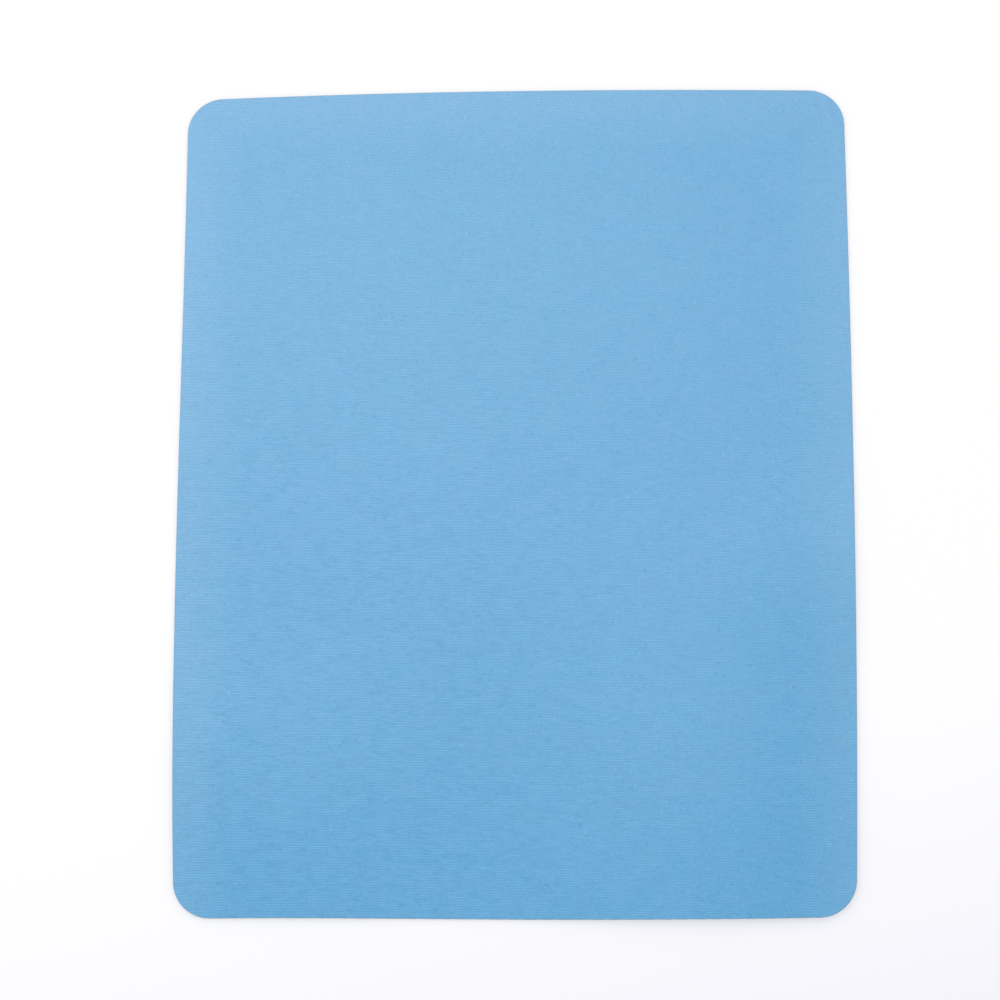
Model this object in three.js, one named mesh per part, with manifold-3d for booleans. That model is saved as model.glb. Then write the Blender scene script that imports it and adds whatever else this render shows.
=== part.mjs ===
// A thin cloth mouse pad: a knitted face bonded by a film of adhesive to a rubber base, embossed underneath.
// Millimetres. The pad lies face up, with X across its short side, Y along its long side and +Z up.
// The origin is on the desk, under the middle of the outline's box.

import * as THREE from "three";
import { mergeVertices } from "three/addons/utils/BufferGeometryUtils.js";
import Module from "manifold-3d";

// The cut, as it would be with straight sides
const cut_width = 200;
const cut_length = 250;
const corner_radius = 10.5;

// How far each side swells past the straight line between its corners
const left_bow = 1.2;
const right_bow = 1.3;
const far_bow = 1.5;
const near_bow = 0.5;

// How much more each side swells towards its far or right end, and less towards the other
const left_lean_share = -1;
const right_lean_share = -0.2;
const far_lean_share = -0.1;
const near_lean_share = 1.9;

// The three layers, from the desk up
const base_thickness = 0.6;
const film_thickness = 0.1;
const cloth_thickness = 0.3;

// The knife presses the cloth's upper edge round as it cuts
const cloth_edge_radius = 0.12;

// Embossed underside: square studs between two families of V grooves that cross the pad aslant
const stud_pitch = 7;
const groove_width = 1.8;
const groove_depth = 0.25;
const groove_turn = THREE.MathUtils.degToRad(45);

// How far a body that is cut, or cuts, runs past the face that it leaves
const overrun = 1;

// Fineness of the curves
const corner_steps = 12;
const side_steps = 12;
const edge_steps = 3;

const half_width = cut_width / 2;
const half_length = cut_length / 2;

const film_bottom = base_thickness;
const cloth_bottom = film_bottom + film_thickness;
const cloth_top_height = cloth_bottom + cloth_thickness;

const wasm = await Module();
wasm.setup();

// Where a point of the straight-sided cut lands once each side has swollen into a shallow, leaning parabola.
// The swelling fades to nothing at the corners and towards the middle of the pad.
function swollen(point) {
  const across = point.x / half_width;
  const along = point.y / half_length;
  const side_bow = across > 0 ? right_bow : left_bow;
  const side_lean_share = across > 0 ? right_lean_share : left_lean_share;
  const end_bow = along > 0 ? far_bow : near_bow;
  const end_lean_share = along > 0 ? far_lean_share : near_lean_share;
  return new THREE.Vector2(
    point.x + side_bow * across * (1 - along * along) * (1 + side_lean_share * along),
    point.y + end_bow * along * (1 - across * across) * (1 + end_lean_share * across),
  );
}

// The swollen outline, drawn in by an inset, as points that go anticlockwise from the near right corner:
// four quarter circles about fixed centres, with evenly spaced points along the sides between them.
function swollen_outline(inset) {
  const radius = corner_radius - inset;
  const centre_reach_x = half_width - corner_radius;
  const centre_reach_y = half_length - corner_radius;
  const corner_signs = [
    [1, -1],
    [1, 1],
    [-1, 1],
    [-1, -1],
  ];
  const arcs = corner_signs.map(([sign_x, sign_y], corner) => {
    const start = ((corner - 1) * Math.PI) / 2;
    const end = start + Math.PI / 2;
    const arc = new THREE.ArcCurve(sign_x * centre_reach_x, sign_y * centre_reach_y, radius, start, end);
    return arc.getPoints(corner_steps);
  });
  const straight_sided = arcs.flatMap((arc, corner) => {
    const side = new THREE.LineCurve(arc.at(-1), arcs[(corner + 1) % arcs.length][0]);
    return [...arc, ...side.getPoints(side_steps).slice(1, -1)];
  });
  return straight_sided.map(swollen);
}

// The outline about the middle of its own box.
function cut_outline(inset) {
  const middle = new THREE.Box2().setFromPoints(swollen_outline(0)).getCenter(new THREE.Vector2());
  return swollen_outline(inset).map((point) => point.sub(middle));
}

// A closed surface, gathered corner by corner. A face lists its corners anticlockwise as seen from outside,
// and is cut into triangles that all start at its first corner.
class ClosedSurface {
  positions = [];
  triangles = [];

  corner(x, y, z) {
    this.positions.push(x, y, z);
    return this.positions.length / 3 - 1;
  }

  face(first, ...others) {
    for (let i = 1; i < others.length; i += 1) {
      this.triangles.push(first, others[i - 1], others[i]);
    }
  }

  geometry() {
    const geometry = new THREE.BufferGeometry();
    geometry.setAttribute("position", new THREE.Float32BufferAttribute(this.positions, 3));
    geometry.setIndex(this.triangles);
    return geometry;
  }
}

// A sheet cut to the outline and carried up through a profile of rings, each an inset at a height.
function sheet_geometry(profile) {
  const surface = new ClosedSurface();
  const outlines = profile.map(({ inset }) => cut_outline(inset));
  const rings = outlines.map((outline, level) =>
    outline.map((point) => surface.corner(point.x, point.y, profile[level].height)),
  );
  for (let level = 1; level < rings.length; level += 1) {
    const lower = rings[level - 1];
    const upper = rings[level];
    lower.forEach((corner, i) => {
      const next = (i + 1) % lower.length;
      surface.face(corner, lower[next], upper[next], upper[i]);
    });
  }
  for (const [a, b, c] of THREE.ShapeUtils.triangulateShape(outlines[0], [])) {
    surface.face(rings[0][c], rings[0][b], rings[0][a]);
  }
  for (const [a, b, c] of THREE.ShapeUtils.triangulateShape(outlines.at(-1), [])) {
    surface.face(rings.at(-1)[a], rings.at(-1)[b], rings.at(-1)[c]);
  }
  return surface.geometry();
}

// A geometry as a solid that can be cut, with its shared corners merged.
function solid_of(geometry) {
  const bare = geometry.clone();
  bare.deleteAttribute("normal");
  bare.deleteAttribute("uv");
  const merged = mergeVertices(bare);
  return new wasm.Manifold(
    new wasm.Mesh({
      numProp: 3,
      vertProperties: merged.attributes.position.array,
      triVerts: new Uint32Array(merged.index.array),
    }),
  );
}

// A cut solid as a geometry again.
function geometry_of(solid) {
  const mesh = solid.getMesh();
  const geometry = new THREE.BufferGeometry();
  geometry.setAttribute("position", new THREE.Float32BufferAttribute(mesh.vertProperties, 3));
  geometry.setIndex(Array.from(mesh.triVerts));
  return geometry;
}

// How many studs cover the outline in one direction: an odd number, so that one stands under its middle.
function studs_across(turn) {
  const direction = new THREE.Vector2(Math.cos(turn), Math.sin(turn));
  const reach = Math.max(...cut_outline(0).map((point) => Math.abs(point.dot(direction))));
  return 2 * Math.ceil(reach / stud_pitch) + 1;
}

// The embossed sheet before a pad is cut from it: a grid of studs, turned to the grooves' angle.
// Each stud has a square flat on the desk and four walls that slope up to the corners of its cell,
// where they meet its neighbours' walls at the bottom of a V groove.
function embossed_sheet(sheet_top) {
  const surface = new ClosedSurface();
  const columns = studs_across(groove_turn);
  const rows = studs_across(groove_turn + Math.PI / 2);
  const half_flat = (stud_pitch - groove_width) / 2;
  const place = (index, count) => (index - count / 2) * stud_pitch;
  const counted = (count) => Array.from({ length: count }, (_, index) => index);
  const cells = counted(rows + 1).map((row) =>
    counted(columns + 1).map((column) =>
      surface.corner(place(column, columns), place(row, rows), groove_depth),
    ),
  );
  for (const row of counted(rows)) {
    for (const column of counted(columns)) {
      const x = place(column, columns - 1);
      const y = place(row, rows - 1);
      const flat = [
        surface.corner(x - half_flat, y - half_flat, 0),
        surface.corner(x + half_flat, y - half_flat, 0),
        surface.corner(x + half_flat, y + half_flat, 0),
        surface.corner(x - half_flat, y + half_flat, 0),
      ];
      const cell = [
        cells[row][column],
        cells[row][column + 1],
        cells[row + 1][column + 1],
        cells[row + 1][column],
      ];
      surface.face(flat[0], flat[3], flat[2], flat[1]);
      flat.forEach((corner, side) => {
        const next = (side + 1) % flat.length;
        surface.face(cell[side], corner, flat[next], cell[next]);
      });
    }
  }
  const rims = [
    cells[0],
    cells.map((row) => row.at(-1)),
    cells.at(-1).toReversed(),
    cells.map((row) => row[0]).toReversed(),
  ];
  const reach_x = place(columns, columns);
  const reach_y = place(rows, rows);
  const tops = [
    surface.corner(-reach_x, -reach_y, sheet_top),
    surface.corner(reach_x, -reach_y, sheet_top),
    surface.corner(reach_x, reach_y, sheet_top),
    surface.corner(-reach_x, reach_y, sheet_top),
  ];
  rims.forEach((rim, side) => surface.face(tops[side], ...rim, tops[(side + 1) % tops.length]));
  surface.face(...tops);
  return surface.geometry().rotateZ(groove_turn);
}

// The rubber base, from the flats of its studs up to the film: the embossed sheet inside the cut outline.
// The grooves run off the sides, as they do on a sheet that is embossed before the pads are cut from it.
function rubber_base() {
  const cutter = sheet_geometry([
    { inset: 0, height: -overrun },
    { inset: 0, height: base_thickness },
  ]);
  const sheet = embossed_sheet(base_thickness + overrun);
  return geometry_of(solid_of(sheet).intersect(solid_of(cutter)));
}

// The film of adhesive that bonds the cloth to the rubber all over.
function adhesive_film() {
  return sheet_geometry([
    { inset: 0, height: film_bottom },
    { inset: 0, height: cloth_bottom },
  ]);
}

// The knitted face, with its upper edge pressed round by the knife.
function cloth_top() {
  const profile = [{ inset: 0, height: cloth_bottom }];
  for (let step = 0; step <= edge_steps; step += 1) {
    const turn = (step / edge_steps) * (Math.PI / 2);
    profile.push({
      inset: cloth_edge_radius * (1 - Math.cos(turn)),
      height: cloth_top_height - cloth_edge_radius * (1 - Math.sin(turn)),
    });
  }
  return sheet_geometry(profile);
}

// One piece of the pad, with its finish.
function piece(name, geometry, finish) {
  const mesh = new THREE.Mesh(geometry, new THREE.MeshStandardMaterial(finish));
  mesh.name = name;
  return mesh;
}

const blue_polyester = { color: "#75b2dc", roughness: 0.9, metalness: 0 };
const milky_hot_melt = { color: "#c9c6bb", roughness: 0.5, metalness: 0 };
const black_foam_rubber = { color: "#1d1d1f", roughness: 0.85, metalness: 0 };

const mouse_pad = new THREE.Group();
mouse_pad.add(piece("rubber_base", rubber_base(), black_foam_rubber));
mouse_pad.add(piece("adhesive_film", adhesive_film(), milky_hot_melt));
mouse_pad.add(piece("cloth_top", cloth_top(), blue_polyester));

export default mouse_pad;
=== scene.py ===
# %% [markdown]
# # A cloth mouse pad
#
# A cloth mouse pad is a laminate of three sheets. A fine knit that the mouse slides on is bonded by a thin
# film of adhesive to a sheet of foamed rubber, whose underside is embossed so that it grips the desk. One
# knife cuts through all three, so they share one outline.
#
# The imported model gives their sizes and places, and each is remade here as a soft sheet: it lies on the
# desk with its edges a little off it, and it has the finish of the real one.

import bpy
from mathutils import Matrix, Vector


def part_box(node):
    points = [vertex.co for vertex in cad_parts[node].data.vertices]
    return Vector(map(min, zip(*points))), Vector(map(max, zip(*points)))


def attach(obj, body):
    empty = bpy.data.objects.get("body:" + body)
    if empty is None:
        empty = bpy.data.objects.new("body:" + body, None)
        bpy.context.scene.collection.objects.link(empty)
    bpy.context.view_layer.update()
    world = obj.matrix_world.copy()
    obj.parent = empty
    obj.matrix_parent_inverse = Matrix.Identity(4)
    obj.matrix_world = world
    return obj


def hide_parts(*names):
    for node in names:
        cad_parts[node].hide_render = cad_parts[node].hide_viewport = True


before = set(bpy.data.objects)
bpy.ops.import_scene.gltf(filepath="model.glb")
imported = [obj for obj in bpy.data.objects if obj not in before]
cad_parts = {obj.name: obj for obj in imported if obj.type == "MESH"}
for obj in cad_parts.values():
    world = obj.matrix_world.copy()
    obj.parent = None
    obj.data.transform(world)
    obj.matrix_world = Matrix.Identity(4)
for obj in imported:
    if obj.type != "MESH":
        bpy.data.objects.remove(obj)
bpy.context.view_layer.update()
print("layers in the frame:", sorted(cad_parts))

# %% [markdown]
# Everything is in metres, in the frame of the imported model: X across the pad, Y along it and Z up from the
# desk. The heights of the layers are read from the frame. The outline's values are those of the solids,
# and a line is printed below to show that the two agree.

# %% Sizes
import math

import bpy
import numpy as np
from mathutils import Euler, Vector

MM = 0.001

cut_width = 200 * MM
cut_length = 250 * MM
corner_radius = 10.5 * MM

base_bottom, base_top = (corner.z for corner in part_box("rubber_base"))
film_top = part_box("adhesive_film")[1].z
cloth_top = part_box("cloth_top")[1].z

half_width = cut_width / 2
half_length = cut_length / 2
corner_reach_x = half_width - corner_radius
corner_reach_y = half_length - corner_radius
print(f"layers end at {base_top / MM:.2f}, {film_top / MM:.2f} and {cloth_top / MM:.2f} mm")

# %% [markdown]
# ## The outline
#
# The sheets are soft when the knife goes through, and the cut swells: each side is a shallow parabola
# between its corners, and most of them lean towards one end. Straight lines would show against the photo
# at once, and a traced line could not be changed. A formula with one bow and one lean for each side gives
# the shape and stays easy to change.

# %% How the sides swell
left_bow = 1.2 * MM
right_bow = 1.3 * MM
far_bow = 1.5 * MM
near_bow = 0.5 * MM

left_lean_share = -1.0
right_lean_share = -0.2
far_lean_share = -0.1
near_lean_share = 1.9


def swollen(x, y):
    """Where points of the straight-sided cut land. A side moves out by its bow times one minus the square
    of the place along it, times one plus its lean times that place. The move fades out towards the middle."""
    across = x / half_width
    along = y / half_length
    side_bow = np.where(across > 0, right_bow, left_bow)
    side_lean = np.where(across > 0, right_lean_share, left_lean_share)
    end_bow = np.where(along > 0, far_bow, near_bow)
    end_lean = np.where(along > 0, far_lean_share, near_lean_share)
    return (
        x + side_bow * across * (1 - along**2) * (1 + side_lean * along),
        y + end_bow * along * (1 - across**2) * (1 + end_lean * across),
    )


def rows_and_reach(y, inset):
    """Where the row for a place y along the cut lies, and how far it reaches. Both are the place of the
    corner circle's centre plus its radius, less the inset, times the sine or the cosine of the turn there.
    Along the straight sides the turn is zero, and the centre is level with the row."""
    centre_y = np.clip(y, -corner_reach_y, corner_reach_y)
    turn = np.arcsin(np.clip((y - centre_y) / corner_radius, -1, 1))
    radius = corner_radius - inset
    return centre_y + radius * np.sin(turn), corner_reach_x + radius * np.cos(turn)


def plan(across, y, inset):
    """Points of the pad seen from above. The two parameters are the share of the row's reach, from -1 at the
    left to 1 at the right, and the row. The middle of the outline's box is then taken off."""
    row_y, reach = rows_and_reach(y, inset)
    x, y = swollen(across * reach, row_y)
    return x - outline_middle[0], y - outline_middle[1]


corner_steps = 24
side_steps = 60
column_steps = 72

corner_turns = np.linspace(0, math.pi / 2, corner_steps + 1)
side_rows = np.linspace(-corner_reach_y, corner_reach_y, side_steps + 1)
far_rows = corner_reach_y + corner_radius * np.sin(corner_turns[1:])
pad_rows = np.concatenate([-far_rows[::-1], side_rows, far_rows])
pad_columns = np.sin(np.linspace(-math.pi / 2, math.pi / 2, column_steps + 1))

# Nothing is taken off the outline while its middle is being found.
outline_middle = np.zeros(2)
whole_x, whole_y = plan(pad_columns[None, :], pad_rows[:, None], 0)
outline_middle = np.array([(c.max() + c.min()) / 2 for c in (whole_x, whole_y)])
low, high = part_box("adhesive_film")
print(
    f"outline {np.ptp(whole_x) / MM:.2f} by {np.ptp(whole_y) / MM:.2f} mm,"
    f" frame {(high - low).x / MM:.2f} by {(high - low).y / MM:.2f} mm"
)

# %% [markdown]
# ## How it lies
#
# A pad that was rolled or stacked never lies quite flat. Towards its right corner the near edge is almost
# two millimetres off the desk. The other end of that edge, the middle of the right side and the near part
# of the left side are off it by half a millimetre or so. The soft shadow in the photo is widest in just
# those places. A cloth simulation would give the same gentle curves with less say over where they are, so
# the lift is a formula.

# %% The lift of the edges
near_lift = 1.9 * MM
near_lift_middle = 59 * MM
near_lift_span = 67 * MM
near_lift_reach = 140 * MM

near_left_lift = 0.5 * MM
near_left_lift_middle = -62 * MM
near_left_lift_span = 44 * MM
near_left_lift_reach = 90 * MM

right_lift = 0.6 * MM
right_lift_middle = -22 * MM
right_lift_span = 40 * MM
right_lift_reach = 70 * MM

left_lift = 0.6 * MM
left_lift_middle = -86 * MM
left_lift_span = 58 * MM
left_lift_reach = 110 * MM


def hump(place, middle, span):
    """One at the middle and nothing past the span on both sides: the square of a cosine."""
    share = np.clip((place - middle) / span, -1, 1)
    return np.cos(share * math.pi / 2) ** 2


def curl(inward, reach):
    """One at the edge, and nothing from the reach inwards: the square of a cosine."""
    return np.cos(np.clip(inward / reach, 0, 1) * math.pi / 2) ** 2


def lift(x, y):
    """How far the pad is off the desk at a point seen from above: the curl of each edge times its hump."""
    half_x = np.ptp(whole_x) / 2
    half_y = np.ptp(whole_y) / 2
    near = near_lift * hump(x, near_lift_middle, near_lift_span) * curl(half_y + y, near_lift_reach)
    near_left = near_left_lift * hump(x, near_left_lift_middle, near_left_lift_span)
    near_left = near_left * curl(half_y + y, near_left_lift_reach)
    right = right_lift * hump(y, right_lift_middle, right_lift_span) * curl(half_x - x, right_lift_reach)
    left = left_lift * hump(y, left_lift_middle, left_lift_span) * curl(half_x + x, left_lift_reach)
    return near + near_left + right + left


print(f"highest lift {lift(whole_x, whole_y).max() / MM:.2f} mm")

# %% [markdown]
# ## A sheet as one closed surface
#
# A sheet this thin still needs its edge, because the edge is what tells cloth from card. Each sheet is a
# grid on its lower face, the same grid on its upper face, and rings between them that follow a profile:
# how far in, and how high. The columns are spaced by a sine, so that they crowd towards the rim, where the
# shape is. A Solidify modifier would be shorter, but it can't round the one edge that the knife presses.

# %% Building a sheet
def border(grid):
    """The border of a grid of vertex numbers, anticlockwise as seen from above."""
    return np.concatenate([grid[0, :-1], grid[:-1, -1], grid[-1, :0:-1], grid[:0:-1, 0]])


def quads(grid):
    """The cells of a grid of vertex numbers, anticlockwise as seen from above."""
    corners = [grid[:-1, :-1], grid[:-1, 1:], grid[1:, 1:], grid[1:, :-1]]
    return np.stack(corners, axis=-1).reshape(-1, 4)


def mesh_object(name, points, faces):
    """A mesh object at the origin, with its shape in its mesh."""
    mesh = bpy.data.meshes.new(name)
    mesh.from_pydata(points.tolist(), [], faces)
    mesh.validate()
    mesh.update()
    made = bpy.data.objects.new(name, mesh)
    bpy.context.scene.collection.objects.link(made)
    return made


def sheet(name, profile):
    """A closed sheet from a profile of rings, each an inset and a height, from its lower face to its upper
    one. Both faces are grids of the pad's rows and columns, and the rings join their borders."""
    levels = []
    for inset, height in profile:
        x, y = plan(pad_columns[None, :], pad_rows[:, None], inset)
        levels.append(np.stack([x, y, np.full_like(x, height)], axis=-1))
    numbers = np.arange(levels[0][..., 0].size).reshape(levels[0].shape[:2])
    lower, upper = numbers, numbers + numbers.size
    points = [levels[0].reshape(-1, 3), levels[-1].reshape(-1, 3)]
    rings = [border(lower)]
    for level in levels[1:-1]:
        start = sum(len(p) for p in points)
        points.append(level.reshape(-1, 3)[border(numbers)])
        rings.append(start + np.arange(len(rings[0])))
    rings.append(border(upper))
    faces = [quads(lower)[:, ::-1], quads(upper)]
    for below, above in zip(rings, rings[1:]):
        faces.append(np.stack([below, np.roll(below, -1), np.roll(above, -1), above], axis=-1))
    return mesh_object(name, np.concatenate(points), np.concatenate(faces).tolist())


def coordinates(mesh):
    """The vertices of a mesh as an array."""
    flat = np.empty(len(mesh.vertices) * 3, np.float32)
    mesh.vertices.foreach_get("co", flat)
    return flat.reshape(-1, 3)


def laid_down(piece):
    """Bends a flat piece to how the pad lies: every vertex goes up by the lift at its place."""
    points = coordinates(piece.data)
    points[:, 2] += lift(points[:, 0], points[:, 1])
    piece.data.vertices.foreach_set("co", points.ravel())
    piece.data.update()
    return piece


def smoothed(piece, sharpest):
    """Smooth shading, broken where two faces meet at more than the sharpest angle."""
    piece.data.shade_smooth()
    piece.data.set_sharp_from_angle(angle=sharpest)
    return piece


def report(piece):
    """Prints a piece's size in millimetres and its faces."""
    spans = np.ptp(coordinates(piece.data), axis=0) / MM
    print(f"{piece.name}: {spans.round(2)} mm, {len(piece.data.polygons)} faces")


# %% [markdown]
# ## The knitted face
#
# The top is a fine polyester knit, 0.3 mm thick. The knife presses its upper edge round as it goes through,
# and that soft edge catches the light as a hairline. The profile therefore turns a quarter circle there.

# %% The cloth
sheet_sharpest = math.radians(60)
cloth_edge_radius = 0.12 * MM
edge_steps = 5
edge_turns = np.linspace(0, math.pi / 2, edge_steps + 1)
cloth_profile = [(0, film_top)] + [
    (cloth_edge_radius * (1 - math.cos(turn)), cloth_top - cloth_edge_radius * (1 - math.sin(turn)))
    for turn in edge_turns
]

cloth = smoothed(laid_down(sheet("knitted_face", cloth_profile)), sheet_sharpest)
report(cloth)

# %% [markdown]
# ## The adhesive film
#
# A hot-melt film, a tenth of a millimetre thick, bonds the cloth to the rubber all over. At the cut it shows
# as a pale hairline, and it is squeezed out by a hair, so its profile bulges.

# %% The film
film_bulge = 0.02 * MM
film_third = (film_top - base_top) / 3
film_profile = [
    (0, base_top),
    (-film_bulge, base_top + film_third),
    (-film_bulge, base_top + 2 * film_third),
    (0, film_top),
]

film = smoothed(laid_down(sheet("bonding_film", film_profile)), sheet_sharpest)
report(film)

# %% [markdown]
# ## The rubber base
#
# The rubber is embossed while it is a wide sheet, and the pads are cut from it afterwards, so the grooves
# run off the sides wherever they happen to be. It is made the same way here. A height field gives the
# embossed sheet, and a Boolean modifier is the knife. Its height is a product of two profiles, one across
# each family of grooves, so the studs get the rounded corners that a roller leaves in warm rubber.

# %% The embossed sheet
stud_pitch = 7 * MM
groove_width = 1.8 * MM
groove_depth = 0.25 * MM
groove_turn = math.radians(45)
groove_steps = 3
overrun = 1 * MM


def standing(place):
    """What is left standing at a place across the grooves: nothing in a groove's middle, all of it past its
    half width, and a smooth step between them. A stud is in the middle of the pad."""
    from_groove = np.abs((place / stud_pitch) % 1 - 0.5) * stud_pitch
    share = np.clip(from_groove / (groove_width / 2), 0, 1)
    return share**2 * (3 - 2 * share)


def lines_across(reach):
    """Places of the grid lines: a few on the slopes of each groove, and none on the flats between them."""
    slope = np.linspace(0, groove_width / 2, groove_steps + 1)
    across_one = np.concatenate([-slope[:0:-1], slope])
    count = math.ceil(reach / stud_pitch) + 1
    grooves = (np.arange(-count, count) + 0.5) * stud_pitch
    return (grooves[:, None] + across_one).ravel()


def embossed_block(top):
    """A closed block on a height field: the groove depth, less the product of what the two families of
    grooves leave standing. Its sides and its top are single faces, because the knife takes them all off."""
    lines = lines_across((half_width + half_length) * math.sin(groove_turn))
    u, v = np.meshgrid(lines, lines)
    x = u * math.cos(groove_turn) - v * math.sin(groove_turn)
    y = u * math.sin(groove_turn) + v * math.cos(groove_turn)
    z = base_bottom + groove_depth * (1 - standing(u) * standing(v))
    lower = np.arange(u.size).reshape(u.shape)
    corners = lower[[0, 0, -1, -1], [0, -1, -1, 0]]
    points = np.stack([x, y, z], axis=-1).reshape(-1, 3)
    top_points = np.column_stack([points[corners, :2], np.full(4, top)])
    upper = u.size + np.arange(4)
    sides = [lower[0], lower[:, -1], lower[-1, ::-1], lower[::-1, 0]]
    walls = [[*side, upper[(i + 1) % 4], upper[i]] for i, side in enumerate(sides)]
    faces = [*quads(lower)[:, ::-1].tolist(), *walls, upper.tolist()]
    return mesh_object("embossed_block", np.concatenate([points, top_points]), faces)


block = embossed_block(base_top + overrun)
report(block)

# %% [markdown]
# The knife leaves soft rubber with a slightly hollow wall, because it is squeezed while it is cut and
# springs back. The knife is therefore a closed sheet itself, whose profile is drawn in half way up. The
# modifier's result is read from the evaluated object, and the block and the knife are then removed.

# %% The cut
cut_hollow = 0.03 * MM
knife_profile = [
    (0, base_bottom - overrun),
    (0, base_bottom),
    (cut_hollow, (base_bottom + base_top) / 2),
    (0, base_top),
]
knife = sheet("knife", knife_profile)


def inside(piece, cutter, name):
    """The part of a piece that is inside a closed cutter, as a mesh object of its own."""
    modifier = piece.modifiers.new("cut", "BOOLEAN")
    modifier.operation = "INTERSECT"
    modifier.solver = "MANIFOLD"
    modifier.object = cutter
    depsgraph = bpy.context.evaluated_depsgraph_get()
    mesh = bpy.data.meshes.new_from_object(piece.evaluated_get(depsgraph))
    mesh.name = name
    mesh.materials.clear()
    made = bpy.data.objects.new(name, mesh)
    bpy.context.scene.collection.objects.link(made)
    bpy.data.objects.remove(piece)
    bpy.data.objects.remove(cutter)
    return made


rubber_sharpest = math.radians(50)
rubber = smoothed(laid_down(inside(block, knife, "embossed_rubber")), rubber_sharpest)
report(rubber)

# %% [markdown]
# ## Each piece on the pad's body
#
# Each sheet rides on the one body of the pad and stands for its solid, which is hidden. The size of the cut
# is kept for the cloth's finish.

# %% Pieces in the frame
cut_size = (float(np.ptp(whole_x)), float(np.ptp(whole_y)))

for piece, node, slot in (
    (cloth, "cloth_top", "knitted_cloth"),
    (film, "adhesive_film", "hot_melt_film"),
    (rubber, "rubber_base", "foam_rubber"),
):
    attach(piece, "root")
    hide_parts(node)

# %% [markdown]
# ## What a point's finish depends on
#
# The cloth is darker and greyer next to the cut, so each of its vertices keeps its distance from there as an
# attribute.
# The swelling is first taken off the point, and the distance is then that of a rectangle with round
# corners. The flats of the studs are paler and smoother than the grooves, so each vertex of the rubber
# keeps how much of a stud it is.

# %% Distance from the rim, and the studs
RIM = "from_rim"
STUD = "on_a_stud"


def rim_distance(x, y):
    """How far in from the cut a point is: the corner radius, less the point's way out past the centre of
    the nearest corner circle. Where it is short of that centre both ways, the lesser shortfall is added."""
    x = x + outline_middle[0]
    y = y + outline_middle[1]
    moved_x, moved_y = swollen(x, y)
    past_x = np.abs(2 * x - moved_x) - corner_reach_x
    past_y = np.abs(2 * y - moved_y) - corner_reach_y
    way_out = np.hypot(np.maximum(past_x, 0), np.maximum(past_y, 0))
    return corner_radius - way_out - np.minimum(np.maximum(past_x, past_y), 0)


def keep(piece, name, values):
    """Stores one value for each vertex of a piece as an attribute."""
    attribute = piece.data.attributes.new(name, "FLOAT", "POINT")
    attribute.data.foreach_set("value", values.astype(np.float32))
    print(f"{piece.name} {name}: {values.min():.4f} to {values.max():.4f}")


points = coordinates(cloth.data)
keep(cloth, RIM, rim_distance(points[:, 0], points[:, 1]))

points = coordinates(rubber.data)
above_flats = points[:, 2] - lift(points[:, 0], points[:, 1]) - base_bottom
keep(rubber, STUD, np.clip(1 - above_flats / groove_depth, 0, 1))

# %% [markdown]
# ## Writing shader nodes
#
# A node tree in code is hard to read when every link is a line. The small class below makes a node, fills
# its inputs and gives back its output, so that a pattern reads like the sum that it is. Noise lies about
# a half, and so does the share of an even mixture, so that number has a name.

# %% A short way to write nodes
halfway = 0.5


class Nodes:
    """Makes nodes in one tree. A value given for an input may be another node's output or a plain value."""

    def __init__(self, tree):
        self.tree = tree

    def add(self, kind, inputs=(), **settings):
        """A node of a kind, with its settings, and its inputs by name or number."""
        node = self.tree.nodes.new(kind)
        for name, value in settings.items():
            setattr(node, name, value)
        for key, value in dict(inputs).items():
            self.fill(node.inputs[key], value)
        return node

    def fill(self, socket, value):
        """Links an output to the socket, or sets the socket's own value."""
        if isinstance(value, bpy.types.NodeSocket):
            self.tree.links.new(value, socket)
        else:
            socket.default_value = value

    def math(self, operation, *values):
        """The output of a Math node."""
        return self.add("ShaderNodeMath", dict(enumerate(values)), operation=operation).outputs[0]

    def scaled(self, vector, scale):
        """A vector times a number."""
        inputs = {0: vector, "Scale": scale}
        return self.add("ShaderNodeVectorMath", inputs, operation="SCALE").outputs[0]

    def ramp(self, value, low, high, to_low=0.0, to_high=1.0):
        """A smooth step of a value from low to high, carried to a range of its own."""
        inputs = {0: value, 1: low, 2: high, 3: to_low, 4: to_high}
        return self.add("ShaderNodeMapRange", inputs, interpolation_type="SMOOTHSTEP").outputs[0]

    def noise(self, vector, detail=2.0):
        """Noise about a half, of one unit across."""
        inputs = {"Vector": vector, "Scale": 1.0, "Detail": detail}
        return self.add("ShaderNodeTexNoise", inputs).outputs[0]

    def random(self, column, row):
        """A value of its own for each whole column and row, evenly spread from nothing to one."""
        cell = self.add("ShaderNodeCombineXYZ", {0: self.math("FLOOR", column), 1: self.math("FLOOR", row)})
        inputs = {"Vector": cell.outputs[0]}
        return self.add("ShaderNodeTexWhiteNoise", inputs, noise_dimensions="2D").outputs["Value"]

    def mixed(self, share, first, second):
        """A colour between two others, which a Mix node takes in its sockets 6 and 7."""
        inputs = {0: share, 6: first, 7: second}
        return self.add("ShaderNodeMix", inputs, data_type="RGBA").outputs[2]

    def bumped(self, shader, height, strength, distance):
        """Gives a shader a normal that is bent by a height."""
        inputs = {"Height": height, "Strength": strength, "Distance": distance}
        self.fill(shader.inputs["Normal"], self.add("ShaderNodeBump", inputs).outputs[0])


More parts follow.
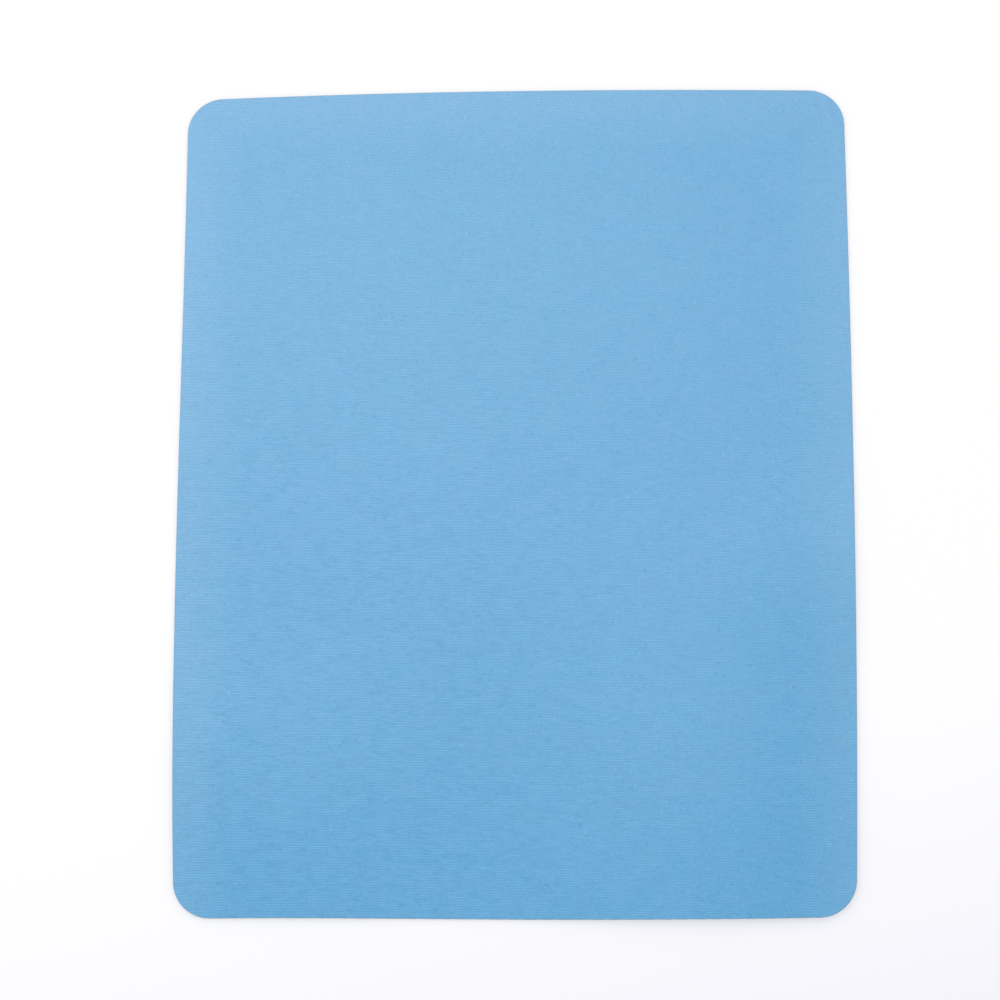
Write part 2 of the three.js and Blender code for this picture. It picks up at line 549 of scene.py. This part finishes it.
def node_group(name, inputs, outputs):
    """An empty shader node group with named float sockets, after a vector called Position."""
    tree = bpy.data.node_groups.new(name, "ShaderNodeTree")
    tree.interface.new_socket("Position", in_out="INPUT", socket_type="NodeSocketVector")
    for label in inputs:
        tree.interface.new_socket(label, in_out="INPUT", socket_type="NodeSocketFloat")
    for label in outputs:
        tree.interface.new_socket(label, in_out="OUTPUT", socket_type="NodeSocketFloat")
    nodes = Nodes(tree)
    return nodes, nodes.add("NodeGroupInput").outputs, nodes.add("NodeGroupOutput").inputs


def place_group(nodes, tree, position, **values):
    """The outputs of a group placed in a material, with its own values."""
    node = nodes.add("ShaderNodeGroup", node_tree=tree)
    nodes.fill(node.inputs["Position"], position)
    for label, value in values.items():
        nodes.fill(node.inputs[label.replace("_", " ")], value)
    return node.outputs


def emptied(owner):
    """The nodes of a material or a world, once those that it came with are gone."""
    owner.use_nodes = True
    owner.node_tree.nodes.clear()
    return Nodes(owner.node_tree)


def material(name):
    """An empty material, its nodes, a Principled shader wired to its output, and the object's coordinates."""
    made = bpy.data.materials.new(name)
    nodes = emptied(made)
    shader = nodes.add("ShaderNodeBsdfPrincipled")
    nodes.add("ShaderNodeOutputMaterial", {"Surface": shader.outputs[0]})
    position = nodes.add("ShaderNodeTexCoord").outputs["Object"]
    return made, nodes, shader, position


print("node helpers ready")

# %% [markdown]
# ## The knit
#
# Seen close, the face is made of courses, rows of loops that lie across the pad, 0.47 mm apart. Each loop
# is a small arch, and each row is shifted by half a loop. A thread that is a little thicker for a few
# millimetres makes a slub, where the rows stand out, and that gives the face its patchy, ribbed look. In
# other patches the yarn is fuzzy, and no two loops have quite the same shade. The rows are far too fine to
# model one by one at this size, so a node group works them out from the place.

# %% The sizes of the knit
course_pitch = 0.47 * MM
wale_pitch = 0.55 * MM
row_shift_share = 0.5
loop_depth_share = 0.3
middle_height = 0.54

row_wander = 0.6 * MM
row_wander_size = 40 * MM

slub_length = 6 * MM
slub_height = 3 * MM
slub_starts_at = 0.47
slub_full_at = 0.61
plain_rib = 0.12
slub_rib = 1.20

row_noise_step = 3.7
row_noise_along = 1.5
row_noise_strength = 0.35

fuzz_size = 1.2 * MM
fuzz_starts_at = 0.48
fuzz_full_at = 0.70
least_fuzz = 0.18
most_fuzz = 0.95
print(f"a row every {course_pitch / MM:.2f} mm, a loop every {wale_pitch / MM:.2f} mm")


# %% Courses, wales and slubs
def knit_group():
    """Height and shade of the knit at a place. The rib is the size of the sine of half a turn a course, the
    loop the same a wale, shifted by half a wale from course to course, and the slubs are drawn-out noise.
    Every course has a noise of its own along it. The shade is darker where the rib is low, as painted shade
    in the hollows between courses, and paler where it is high, as painted sheen on their crests. Relief is
    how much the courses stand out in the shade. Where the yarn is fuzzy every loop has a shade of its own,
    full at the loop's top and gone at its foot."""
    inputs = ("Course", "Wale", "Slub Length", "Slub Height", "Relief")
    nodes, given, put = node_group("knit", inputs, ("Height", "Shade"))
    parts = nodes.add("ShaderNodeSeparateXYZ", {0: given["Position"]}).outputs
    wander = nodes.noise(nodes.scaled(given["Position"], 1 / row_wander_size), detail=1.0)
    wandered = nodes.math("MULTIPLY_ADD", wander, row_wander, parts["Y"])
    course = nodes.math("DIVIDE", wandered, given["Course"])
    rib = nodes.math("ABSOLUTE", nodes.math("SINE", nodes.math("MULTIPLY", course, math.pi)))
    shift = nodes.math("MULTIPLY", nodes.math("FLOOR", course), row_shift_share)
    wale = nodes.math("ADD", nodes.math("DIVIDE", parts["X"], given["Wale"]), shift)
    loop = nodes.math("ABSOLUTE", nodes.math("SINE", nodes.math("MULTIPLY", wale, math.pi)))
    looped = nodes.math("MULTIPLY_ADD", loop, loop_depth_share, 1 - loop_depth_share)
    height = nodes.math("MULTIPLY", rib, looped)
    drawn_x = nodes.math("DIVIDE", parts["X"], given["Slub Length"])
    drawn_y = nodes.math("DIVIDE", parts["Y"], given["Slub Height"])
    drawn = nodes.add("ShaderNodeCombineXYZ", {0: drawn_x, 1: drawn_y}).outputs[0]
    strength = nodes.ramp(nodes.noise(drawn), slub_starts_at, slub_full_at, plain_rib, slub_rib)
    # Painted shade in the hollows between the courses and painted sheen on their crests.
    rib_shade_and_sheen = nodes.math("MULTIPLY", nodes.math("SUBTRACT", height, middle_height), strength)
    own_row = nodes.math("MULTIPLY", nodes.math("FLOOR", course), row_noise_step)
    along_row = nodes.math("MULTIPLY", drawn_x, row_noise_along)
    row_place = nodes.add("ShaderNodeCombineXYZ", {0: along_row, 1: own_row}).outputs[0]
    yarn = nodes.math("SUBTRACT", nodes.noise(row_place, detail=1.0), halfway)
    drawn_rows = nodes.math("MULTIPLY_ADD", yarn, row_noise_strength, rib_shade_and_sheen)
    drawn_rows = nodes.math("MULTIPLY", drawn_rows, given["Relief"])
    fuzzy = nodes.noise(nodes.scaled(given["Position"], 1 / fuzz_size))
    fuzz = nodes.ramp(fuzzy, fuzz_starts_at, fuzz_full_at, least_fuzz, most_fuzz)
    own_shade = nodes.math("SUBTRACT", nodes.random(wale, course), halfway)
    uneven = nodes.math("MULTIPLY", own_shade, height)
    nodes.fill(put["Height"], height)
    nodes.fill(put["Shade"], nodes.math("MULTIPLY_ADD", uneven, fuzz, drawn_rows))
    return nodes.tree


knit = knit_group()
print("knit:", [socket.name for socket in knit.interface.items_tree])

# %% [markdown]
# ## Mottling
#
# No dyed or moulded surface is one flat colour. A slow noise with a faster one on it stands for uneven dye
# on the cloth, uneven glue on the film and uneven filler in the rubber. All three materials use it.

# %% Slow and fast noise
fast_scale = 6.0
fast_share = 0.33


def mottle_group():
    """A value about zero: slow noise of the given size, and a third as much of noise a sixth of that size."""
    nodes, given, put = node_group("mottle", ("Size",), ("Value",))
    slow_place = nodes.scaled(given["Position"], nodes.math("DIVIDE", 1.0, given["Size"]))
    slow = nodes.math("SUBTRACT", nodes.noise(slow_place), halfway)
    fast = nodes.math("SUBTRACT", nodes.noise(nodes.scaled(slow_place, fast_scale)), halfway)
    nodes.fill(put["Value"], nodes.math("MULTIPLY_ADD", fast, fast_share, slow))
    return nodes.tree


mottle = mottle_group()
print("mottle:", [socket.name for socket in mottle.interface.items_tree])

# %% [markdown]
# ## Pores
#
# Foamed rubber is full of small bubbles. The knife opens them, so the cut wall is pitted, while the
# underside keeps a closed skin with only a faint grain. One group gives both, at different strengths.

# %% Open bubbles
pit_rim_at = 0.5
pit_floor_at = 0.15


def pore_group():
    """How deep a place is in an open bubble: a smooth step down from the middle of a Voronoi cell. A cell is
    open where its random colour is below the share."""
    nodes, given, put = node_group("pores", ("Size", "Share"), ("Pit",))
    place = nodes.scaled(given["Position"], nodes.math("DIVIDE", 1.0, given["Size"]))
    cell = nodes.add("ShaderNodeTexVoronoi", {"Vector": place, "Scale": 1.0})
    pit = nodes.ramp(cell.outputs["Distance"], pit_rim_at, pit_floor_at)
    picked = nodes.add("ShaderNodeSeparateColor", {0: cell.outputs["Color"]}).outputs[0]
    open_here = nodes.math("LESS_THAN", picked, given["Share"])
    nodes.fill(put["Pit"], nodes.math("MULTIPLY", pit, open_here))
    return nodes.tree


pores = pore_group()
print("pores:", [socket.name for socket in pores.interface.items_tree])

# %% [markdown]
# ## The cloth's finish
#
# Dyed polyester is matte with a faint satin sheen: the shader's own rough reflection gives most of it, and
# whitens the side of the pad that mirrors the lamp. The dye took unevenly, in paler and deeper places and
# in others that are a touch more violet. A paler band along the left, right and far edges, but not the near
# side, is painted glare from the white surroundings. In the last third of a millimetre from the cut the cloth
# is darker and greyer. The rows are darker in their hollows, as painted shade, and paler on their crests, as
# painted sheen. They stand out most in the near left part and least at the far right, so their relief is the
# product of a smooth step along the pad and one across it.

# %% How the rows stand out over the face
far_relief_share = 0.55
near_relief_share = 1.45
relief_far_place = 130 * MM
relief_near_place = -20 * MM

left_relief_share = 1.25
right_relief_share = 0.70
relief_left_place = -30 * MM
relief_right_place = 65 * MM


def row_relief(nodes, parts):
    """How much the rows stand out at a place: a smooth step along the pad times one across it."""
    y_places = (relief_far_place, relief_near_place)
    x_places = (relief_left_place, relief_right_place)
    along = nodes.ramp(parts["Y"], *y_places, far_relief_share, near_relief_share)
    across = nodes.ramp(parts["X"], *x_places, left_relief_share, right_relief_share)
    return nodes.math("MULTIPLY", along, across)


print(f"rows stand out {near_relief_share * left_relief_share:.2f} times at most")

# %% Blue knitted polyester
# The two blues are the dye's range and also painted shade in the rows' hollows and painted sheen on their
# crests.
deep_dye_and_hollow_shade = (0.008, 0.231, 0.467, 1)
pale_dye_and_crest_sheen = (0.114, 0.411, 0.707, 1)
dye_patch = 24 * MM
dye_unevenness = 0.10

violet = (0.30, 0.30, 0.62, 1)
violet_patch = 7 * MM
violet_unevenness = 0.13
violet_share = 0.02

# A paler band along the left, right and far edges is painted glare from the white surroundings.
glare_colour = (0.75, 0.80, 0.85, 1)
glare_reach = 22 * MM
glare_share = 0.05

# The cloth is darker and greyer next to the cut.
cut_edge_colour = (0.16, 0.30, 0.40, 1)
cut_edge_reach = 0.30 * MM
cut_edge_share = 0.5

knit_roughness = 0.38
crest_roughness_change = -0.06
knit_refraction = 1.6
knit_sheen = 0.04
knit_sheen_roughness = 0.4
knit_bump = 0.35
knit_bump_height = 0.02 * MM


def painted_glare_band(nodes, parts):
    """Painted glare: one at the left, right and far edges, and nothing past its reach: the larger of two
    smooth steps of the distance from the middle."""
    half_x, half_y = cut_size[0] / 2, cut_size[1] / 2
    at_a_side = nodes.ramp(nodes.math("ABSOLUTE", parts["X"]), half_x - glare_reach, half_x)
    at_far_end = nodes.ramp(parts["Y"], half_y - glare_reach, half_y)
    return nodes.math("MAXIMUM", at_a_side, at_far_end)


def knitted_polyester():
    """The cloth's material: two blues mixed by the knit's shade, which holds the rows' painted shade and
    sheen, tinted with violet, paled towards the left, right and far edges as painted glare, and darkened and
    greyed by a smooth step of the distance from the cut."""
    made, nodes, shader, position = material("blue_knitted_polyester")
    parts = nodes.add("ShaderNodeSeparateXYZ", {0: position}).outputs
    rows = place_group(
        nodes,
        knit,
        position,
        Course=course_pitch,
        Wale=wale_pitch,
        Slub_Length=slub_length,
        Slub_Height=slub_height,
        Relief=row_relief(nodes, parts),
    )
    uneven = place_group(nodes, mottle, position, Size=dye_patch)["Value"]
    share = nodes.math("ADD", rows["Shade"], halfway)
    share = nodes.math("MULTIPLY_ADD", uneven, dye_unevenness, share)
    dyed = nodes.mixed(share, deep_dye_and_hollow_shade, pale_dye_and_crest_sheen)
    patches = place_group(nodes, mottle, position, Size=violet_patch)["Value"]
    tint = nodes.math("MULTIPLY_ADD", patches, violet_unevenness, violet_share)
    dyed = nodes.mixed(tint, dyed, violet)
    # Painted glare: the cloth is paled towards the left, right and far edges.
    glare = nodes.math("MULTIPLY", painted_glare_band(nodes, parts), glare_share)
    with_glare = nodes.mixed(glare, dyed, glare_colour)
    inward = nodes.add("ShaderNodeAttribute", attribute_name=RIM).outputs["Fac"]
    near_cut = nodes.ramp(inward, cut_edge_reach, 0.0, 0.0, cut_edge_share)
    nodes.fill(shader.inputs["Base Color"], nodes.mixed(near_cut, with_glare, cut_edge_colour))
    rough = nodes.math("MULTIPLY_ADD", rows["Height"], crest_roughness_change, knit_roughness)
    nodes.fill(shader.inputs["Roughness"], rough)
    shader.inputs["IOR"].default_value = knit_refraction
    shader.inputs["Sheen Weight"].default_value = knit_sheen
    shader.inputs["Sheen Roughness"].default_value = knit_sheen_roughness
    nodes.bumped(shader, rows["Height"], knit_bump, knit_bump_height)
    return made


cloth.data.materials.append(knitted_polyester())
print("cloth finished")

# %% [markdown]
# ## The film's finish
#
# Hot-melt film is milky and a little waxy. Only its edge is ever seen.

# %% Milky hot melt
thick_glue = (0.42, 0.41, 0.36, 1)
thin_glue = (0.66, 0.64, 0.57, 1)
glue_patch = 5 * MM
glue_roughness = 0.45
glue_roughness_change = 0.2
glue_bump = 0.3
glue_bump_height = 0.05 * MM


def hot_melt():
    """The film's material: an uneven milky colour with a soft gloss."""
    made, nodes, shader, position = material("milky_hot_melt")
    uneven = place_group(nodes, mottle, position, Size=glue_patch)["Value"]
    share = nodes.math("ADD", uneven, halfway)
    nodes.fill(shader.inputs["Base Color"], nodes.mixed(share, thick_glue, thin_glue))
    rough = nodes.math("MULTIPLY_ADD", uneven, glue_roughness_change, glue_roughness)
    nodes.fill(shader.inputs["Roughness"], rough)
    nodes.bumped(shader, uneven, glue_bump, glue_bump_height)
    return made


film.data.materials.append(hot_melt())
print("film finished")

# %% [markdown]
# ## The rubber's finish
#
# The rubber is nearly black. Its moulded skin has a faint grain, and its cut wall has open bubbles, which
# are painted darker inside as painted shade. The normal tells the two apart: on the wall it lies flat. The
# flats of the studs are paler and smoother than the grooves.

# %% Black foamed rubber
deep_black = (0.008, 0.008, 0.009, 1)
grey_black = (0.016, 0.016, 0.017, 1)
filler_patch = 18 * MM
# The flats of the studs are paler than the grooves.
stud_flat_black = (0.023, 0.023, 0.023, 1)
# The open bubbles are painted darker inside: painted shade.
pit_shade_black = (0.004, 0.004, 0.004, 1)

skin_level = 0.6
wall_level = 0.3
bubble_size = 0.16 * MM
bubble_share = 0.55
grain_size = 0.18 * MM
grain_height = -0.15

skin_roughness = 0.78
wall_roughness_change = 0.10
stud_flat_roughness_change = -0.2
rubber_bump = 0.6
rubber_bump_height = 0.04 * MM


def foamed_rubber():
    """The rubber: near black, with painted shade in the cut wall's open bubbles and grain on the skin."""
    made, nodes, shader, position = material("black_foamed_rubber")
    normal = nodes.add("ShaderNodeNewGeometry").outputs["Normal"]
    level = nodes.math("ABSOLUTE", nodes.add("ShaderNodeSeparateXYZ", {0: normal}).outputs["Z"])
    wall = nodes.ramp(level, skin_level, wall_level)
    pit = place_group(nodes, pores, position, Size=bubble_size, Share=bubble_share)["Pit"]
    grain = place_group(nodes, pores, position, Size=grain_size, Share=1.0)["Pit"]
    uneven = place_group(nodes, mottle, position, Size=filler_patch)["Value"]
    filled = nodes.mixed(nodes.math("ADD", uneven, halfway), deep_black, grey_black)
    on_flat = nodes.add("ShaderNodeAttribute", attribute_name=STUD).outputs["Fac"]
    filled = nodes.mixed(on_flat, filled, stud_flat_black)
    opened = nodes.math("MULTIPLY", pit, wall)
    nodes.fill(shader.inputs["Base Color"], nodes.mixed(opened, filled, pit_shade_black))
    dull = nodes.math("MULTIPLY_ADD", wall, wall_roughness_change, skin_roughness)
    rough = nodes.math("MULTIPLY_ADD", on_flat, stud_flat_roughness_change, dull)
    nodes.fill(shader.inputs["Roughness"], rough)
    skin = nodes.math("MULTIPLY", grain, grain_height)
    nodes.bumped(shader, nodes.math("SUBTRACT", skin, opened), rubber_bump, rubber_bump_height)
    return made


rubber.data.materials.append(foamed_rubber())
print("rubber finished")

# %% [markdown]
# ## The floor
#
# The pad was photographed on white, so white that most of the floor is overexposed, and what is left of it
# is faintly blue towards the near right. More lamp would bleach the pad as well. The floor is therefore a
# pale diffuse plane that takes the shadow, plus a bluish glow of its own, weaker and bluer at the near side,
# that only the camera and mirrors see. Only they see the floor at all, and only from above, so that the
# underside can be looked at too.

# %% A white floor
floor_size = 6.0
floor_colour = (0.72, 0.63, 0.58, 1)
floor_glow_far = (0.252, 0.342, 0.41, 1)
floor_glow_near = (0.140, 0.230, 0.358, 1)
glow_near_place = -240 * MM
glow_far_place = -60 * MM
glow_lean_share = -0.2


def seen_directly(nodes):
    """One for rays from the camera and for those that mirrors and glass send on, and nothing for others."""
    path = nodes.add("ShaderNodeLightPath").outputs
    mirrored = nodes.math("MAXIMUM", path["Is Glossy Ray"], path["Is Transmission Ray"])
    return nodes.math("MAXIMUM", path["Is Camera Ray"], mirrored)


def white_floor():
    """The floor's material: diffuse, with a glow that only direct rays see, and clear from below. The glow
    goes by how far away a place is: its Y, less a fifth of its X."""
    made = bpy.data.materials.new("white_floor")
    nodes = emptied(made)
    diffuse = nodes.add("ShaderNodeBsdfDiffuse", {"Color": floor_colour}).outputs[0]
    place = nodes.add("ShaderNodeTexCoord").outputs["Object"]
    parts = nodes.add("ShaderNodeSeparateXYZ", {0: place}).outputs
    away = nodes.math("MULTIPLY_ADD", parts["X"], glow_lean_share, parts["Y"])
    share = nodes.ramp(away, glow_near_place, glow_far_place)
    graded = nodes.mixed(share, floor_glow_near, floor_glow_far)
    glow = nodes.add("ShaderNodeEmission", {"Color": graded, "Strength": seen_directly(nodes)}).outputs[0]
    lit = nodes.add("ShaderNodeAddShader", {0: diffuse, 1: glow}).outputs[0]
    clear = nodes.add("ShaderNodeBsdfTransparent").outputs[0]
    below = nodes.add("ShaderNodeNewGeometry").outputs["Backfacing"]
    either = nodes.add("ShaderNodeMixShader", {0: below, 1: lit, 2: clear}).outputs[0]
    nodes.add("ShaderNodeOutputMaterial", {"Surface": either})
    return made


floor_corners = np.array([[-1, -1, 0], [1, -1, 0], [1, 1, 0], [-1, 1, 0]]) * floor_size / 2
floor = mesh_object("floor", floor_corners, [[0, 1, 2, 3]])
floor.data.materials.append(white_floor())
floor.visible_diffuse = False
floor.visible_shadow = False
print(f"floor {floor_size} m across")

# %% [markdown]
# ## Light
#
# The photo's light is very soft. The shadow is only where the pad keeps the light of the whole room from
# the desk, so a white world gives it, a little brighter overhead than at the horizon. The pad is palest
# at the far left, because the cloth's rough reflection mirrors something wide and bright out there. One
# broad, shallow lamp gives that. It casts no shadow of its own, since the photo has none. It points at the
# middle of the pad: the sine of its turn about X is the direction's Y, and the tangent of its turn about Y
# is the direction's X over its Z.

# %% World and lamp
level_light = 0.60
overhead_light = 0.87
lamp_place = Vector((-0.65, 0.73, 2.2))
lamp_width = 2.06
lamp_depth = 0.60
lamp_power = 19.4


def white_world():
    """A white surround: full white where it is seen directly, and elsewhere a soft light that grows from the
    horizon up, and also down, since a white desk would send it back."""
    world = bpy.data.worlds.new("white_surround")
    nodes = emptied(world)
    direction = nodes.add("ShaderNodeTexCoord").outputs["Generated"]
    steepness = nodes.math("ABSOLUTE", nodes.add("ShaderNodeSeparateXYZ", {0: direction}).outputs["Z"])
    soft = nodes.math("MULTIPLY_ADD", steepness, overhead_light - level_light, level_light)
    strength = nodes.add("ShaderNodeMix", {0: seen_directly(nodes), 2: soft, 3: 1.0}).outputs[0]
    shader = nodes.add("ShaderNodeBackground", {"Color": (1, 1, 1, 1), "Strength": strength})
    nodes.add("ShaderNodeOutputWorld", {"Surface": shader.outputs[0]})
    return world


bpy.context.scene.world = white_world()

lamp = bpy.data.objects.new("soft_lamp", bpy.data.lights.new("soft_lamp", "AREA"))
lamp.data.shape = "RECTANGLE"
lamp.data.size = lamp_width
lamp.data.size_y = lamp_depth
lamp.data.energy = lamp_power
lamp.data.use_shadow = False
lamp.location = lamp_place
towards = -lamp_place.normalized()
lamp.rotation_euler = (math.asin(towards.y), math.atan2(-towards.x, -towards.z), 0)
bpy.context.scene.collection.objects.link(lamp)
print(f"lamp {lamp_place.length:.2f} m away, {lamp_power} W")

# %% [markdown]
# ## The camera
#
# The photo was taken from nearly overhead, from beyond the near side and a little to the right, with a long
# lens. Its place and turn were found from the outline: the corners say how far away it was, and the
# difference in width between the near and the far side says how much it was tilted. The turns are in
# degrees, and the lens and the sensor's width are in millimetres, as Blender takes them.

# %% A camera almost overhead
camera_place = Vector((58.36, -211.32, 1092.4)) * MM
camera_turns = (10.898, 3.257, 0.090)
camera_lens = 134.12
camera_sensor = 36

camera = bpy.data.objects.new("camera", bpy.data.cameras.new("camera"))
camera.data.lens = camera_lens
camera.data.sensor_width = camera_sensor
camera.location = camera_place
camera.rotation_euler = Euler([math.radians(turn) for turn in camera_turns])
bpy.context.scene.collection.objects.link(camera)
bpy.context.scene.camera = camera
bpy.context.scene.view_settings.view_transform = "Standard"
print(f"camera {camera_place.length:.2f} m away")
